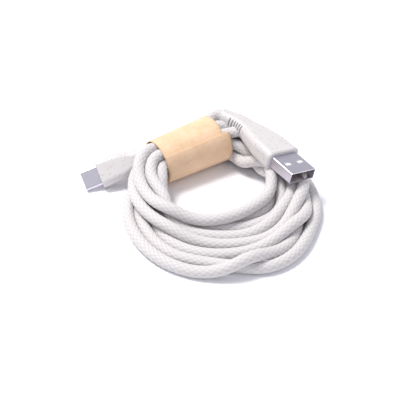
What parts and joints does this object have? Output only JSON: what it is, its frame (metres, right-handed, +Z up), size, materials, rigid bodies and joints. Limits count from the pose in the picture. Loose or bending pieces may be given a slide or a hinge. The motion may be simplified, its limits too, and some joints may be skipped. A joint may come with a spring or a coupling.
{
  "type": "charging cable",
  "caption": "Charging cable: a braided cord wound into a flat coil and held by a kraft paper band, with a rectangular type A plug at one end and a flat oval type C plug at the other.",
  "frame": {"origin": "middle of the object's footprint, on the surface it lies on", "axes": "+Z up, the coil lies flat in X-Y, the paper band is at the back (+Y), -X is the type C plug's side and +X the type A plug's side"},
  "size_m": [0.0915, 0.0828, 0.0198],
  "materials": {
    "cord": "woven braid",
    "kraft_paper": "uncoated",
    "glue": "dried glue",
    "plated_steel": "satin plated",
    "white_insulator": "semi-gloss",
    "black_insulator": "matt",
    "gold_contacts": "gold plated",
    "inner_plastic": "matt",
    "straw_plastic": "speckled matt",
    "jacket": "smooth",
    "crimp_brass": "plain",
    "circuit_board": "solder resist",
    "resistor": "matt",
    "wire_red": "smooth",
    "wire_black": "smooth",
    "wire_green": "smooth",
    "wire_white": "smooth"
  },
  "bodies": {
    "cord": {"coil": "cord", "lead_to_a": "cord", "lead_to_c": "cord", "a_strain_relief": "straw_plastic", "a_cord_end": "cord", "c_strain_relief": "straw_plastic", "c_cord_end": "cord"},
    "band": {"kraft_band": "kraft_paper", "band_glue": "glue"},
    "type_a_plug": {"a_shell": "plated_steel", "a_tongue": "white_insulator", "a_contacts": "gold_contacts", "a_rear_can": "plated_steel", "a_inner_mould": "inner_plastic", "a_housing": "straw_plastic", "a_jacket_end": "jacket", "a_crimp_ring": "crimp_brass", "a_wire_power": "wire_red", "a_wire_ground": "wire_black", "a_wire_data_plus": "wire_green", "a_wire_data_minus": "wire_white"},
    "type_c_plug": {"c_shell": "plated_steel", "c_insulator": "black_insulator", "c_contact_tails": "gold_contacts", "c_mid_plate": "plated_steel", "c_board": "circuit_board", "c_resistor": "resistor", "c_rear_can": "plated_steel", "c_inner_mould": "inner_plastic", "c_housing": "straw_plastic", "c_jacket_end": "jacket", "c_crimp_ring": "crimp_brass", "c_wire_power": "wire_red", "c_wire_ground": "wire_black", "c_wire_data_plus": "wire_green", "c_wire_data_minus": "wire_white"},
    "upper_contacts": {"c_upper_contacts": "gold_contacts"},
    "lower_contacts": {"c_lower_contacts": "gold_contacts"},
    "left_latch": {"c_latch_left": "plated_steel"},
    "right_latch": {"c_latch_right": "plated_steel"}
  },
  "joints": [
    {"name": "band_slide", "type": "slide", "parent": "cord", "child": "band", "axis": [0.829, 0.5592, 0], "range_m": [-0.001, 0.0015]},
    {"name": "type_a_flex", "type": "hinge", "parent": "cord", "child": "type_a_plug", "pos_m": [0.0167, 0.03439, 0.01566], "axis": [-0.829, -0.5592, 0], "range_deg": [0, 20], "stiffness_Nm_per_rad": 0.01, "deforming": ["a_strain_relief", "a_cord_end"]},
    {"name": "type_c_flex", "type": "hinge", "parent": "cord", "child": "type_c_plug", "pos_m": [-0.02316, 0.01954, 0.009], "axis": [-0.309, 0.9511, 0], "range_deg": [0, 15], "stiffness_Nm_per_rad": 0.006, "deforming": ["c_strain_relief", "c_cord_end"]},
    {"name": "upper_contacts_flex", "type": "hinge", "parent": "type_c_plug", "child": "upper_contacts", "pos_m": [-0.03756, 0.01438, 0.00528], "axis": [-0.389, 0.655, 0.6478], "range_deg": [0, 2], "stiffness_Nm_per_rad": 0.002, "springref_deg": -4.98},
    {"name": "lower_contacts_flex", "type": "hinge", "parent": "type_c_plug", "child": "lower_contacts", "pos_m": [-0.03759, 0.01503, 0.0046], "axis": [0.389, -0.655, -0.6478], "range_deg": [0, 2], "stiffness_Nm_per_rad": 0.002, "springref_deg": -4.98},
    {"name": "left_latch_flex", "type": "hinge", "parent": "type_c_plug", "child": "left_latch", "pos_m": [-0.03626, 0.01248, 0.00274], "axis": [0.0298, -0.6939, 0.7195], "range_deg": [0, 2], "stiffness_Nm_per_rad": 0.002, "springref_deg": -4.98},
    {"name": "right_latch_flex", "type": "hinge", "parent": "type_c_plug", "child": "right_latch", "pos_m": [-0.0389, 0.01693, 0.00714], "axis": [-0.0298, 0.6939, -0.7195], "range_deg": [0, 2], "stiffness_Nm_per_rad": 0.002, "springref_deg": -4.98}
  ]
}
